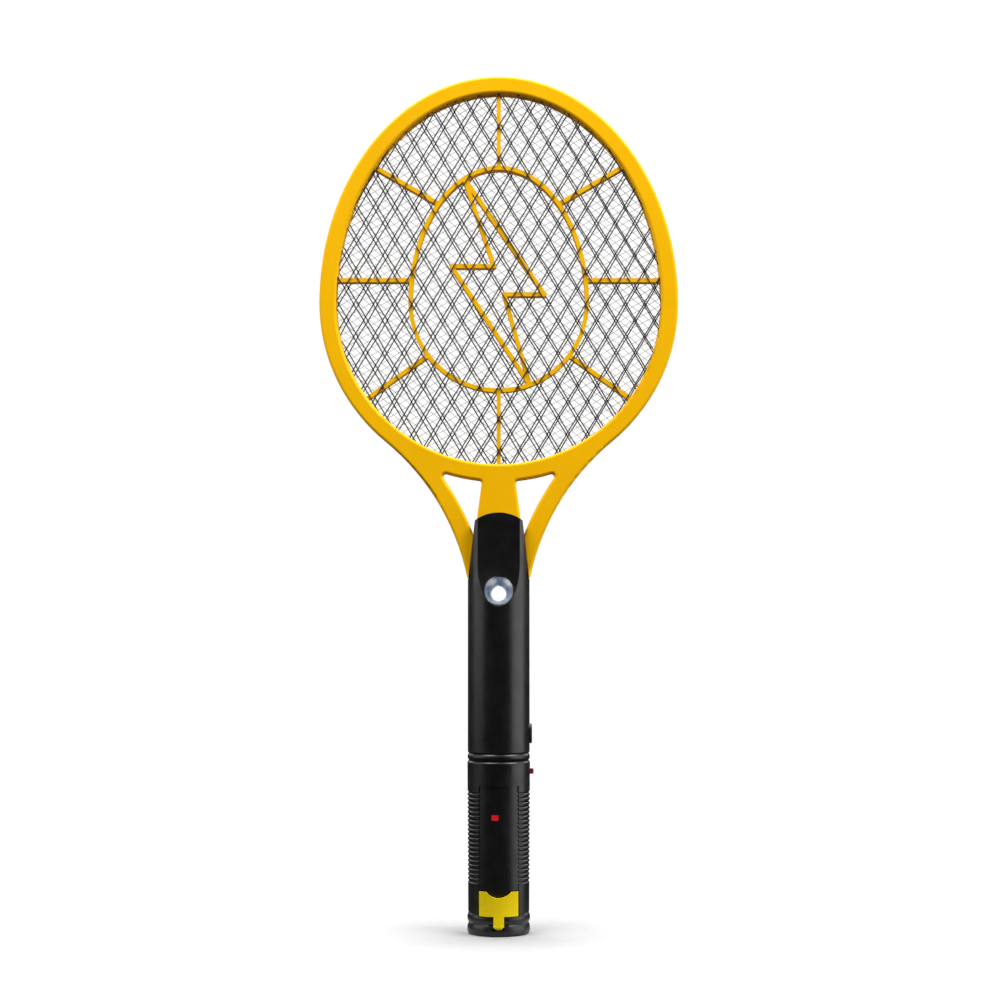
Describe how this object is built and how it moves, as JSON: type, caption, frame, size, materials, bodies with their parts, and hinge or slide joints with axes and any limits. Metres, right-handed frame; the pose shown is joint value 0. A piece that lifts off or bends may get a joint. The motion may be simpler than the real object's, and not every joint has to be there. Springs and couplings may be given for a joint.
{
  "type": "electric fly swatter",
  "caption": "Electric fly swatter: oval racket head with guard nets around a live net, yellow frame with bolt-shaped ribs, round black handle with lamp, button, switch and charging inlet.",
  "frame": {"origin": "centre of the base's underside, on the handle's axis", "axes": "+Z along the handle towards the head, -Y out of the face with the lamp, +X towards the side with the push button"},
  "size_m": [0.21, 0.0365, 0.5],
  "materials": {
    "frame_yellow": "satin moulded plastic",
    "net_dark": "dark coated steel mesh",
    "net_wire": "bare fine wire",
    "handle_black": "fine satin texture",
    "screw_steel": "zinc plated",
    "lens_clear": "clear moulded plastic",
    "reflector_chrome": "bright",
    "led_white": "lit white LED",
    "button_black": "satin",
    "knob_red": "satin",
    "indicator_red": "translucent",
    "cover_yellow": "fine matte grain",
    "inlet_black": "moulded",
    "contact_brass": "bright",
    "board_green": "solder mask",
    "ferrite": "sintered",
    "copper_winding": "enamelled wire",
    "capacitor_brown": "dipped epoxy",
    "component_black": "moulded epoxy",
    "resistor_tan": "lacquered",
    "plunger_white": "moulded",
    "battery_wrap": "shrink wrap",
    "battery_nickel": "nickel strip",
    "wire_red": "vinyl insulation",
    "wire_black": "vinyl insulation"
  },
  "bodies": {
    "swatter": {"frame_front": "frame_yellow", "frame_rear": "frame_yellow", "net_front": "net_dark", "net_rear": "net_dark", "net_middle": "net_wire", "handle_front_shell": "handle_black", "handle_rear_shell": "handle_black", "collar_ring": "handle_black", "grip_front_shell": "handle_black", "grip_rear_shell": "handle_black", "base_cap": "handle_black", "frame_screws": "screw_steel", "handle_screws": "screw_steel", "grip_screws": "screw_steel", "cover_hinge_pin": "screw_steel", "lamp_lens": "lens_clear", "lamp_reflector": "reflector_chrome", "lamp_led": "led_white", "indicator_window": "indicator_red", "indicator_led": "indicator_red", "inlet_body": "inlet_black", "inlet_pins": "contact_brass", "circuit_board": "board_green", "charge_board": "board_green", "transformer_core": "ferrite", "transformer_winding": "copper_winding", "hv_capacitor": "capacitor_brown", "charge_capacitor": "capacitor_brown", "power_transistor": "component_black", "rectifier_diodes": "component_black", "zap_switch_body": "component_black", "light_switch_body": "component_black", "bleed_resistors": "resistor_tan", "battery_cell": "battery_wrap", "battery_tabs": "battery_nickel", "net_lead_live": "wire_red", "battery_lead_red": "wire_red", "lamp_leads": "wire_red", "net_lead_ground": "wire_black", "battery_lead_black": "wire_black"},
    "zap_button": {"zap_button": "button_black", "zap_switch_plunger": "plunger_white"},
    "light_switch_knob": {"light_switch_knob": "knob_red"},
    "inlet_cover": {"inlet_cover": "cover_yellow"}
  },
  "joints": [
    {"name": "zap_button_press", "type": "slide", "parent": "swatter", "child": "zap_button", "axis": [-1, 0, 0], "range_m": [0, 0.0012], "stiffness_N_per_m": 800, "springref_m": -0.001},
    {"name": "light_switch_slide", "type": "slide", "parent": "swatter", "child": "light_switch_knob", "axis": [0, 0, -1], "range_m": [0, 0.004]},
    {"name": "inlet_cover_swing", "type": "hinge", "parent": "swatter", "child": "inlet_cover", "pos_m": [0, -0.0164, 0.0057], "axis": [1, 0, 0], "range_deg": [0, 90]}
  ]
}
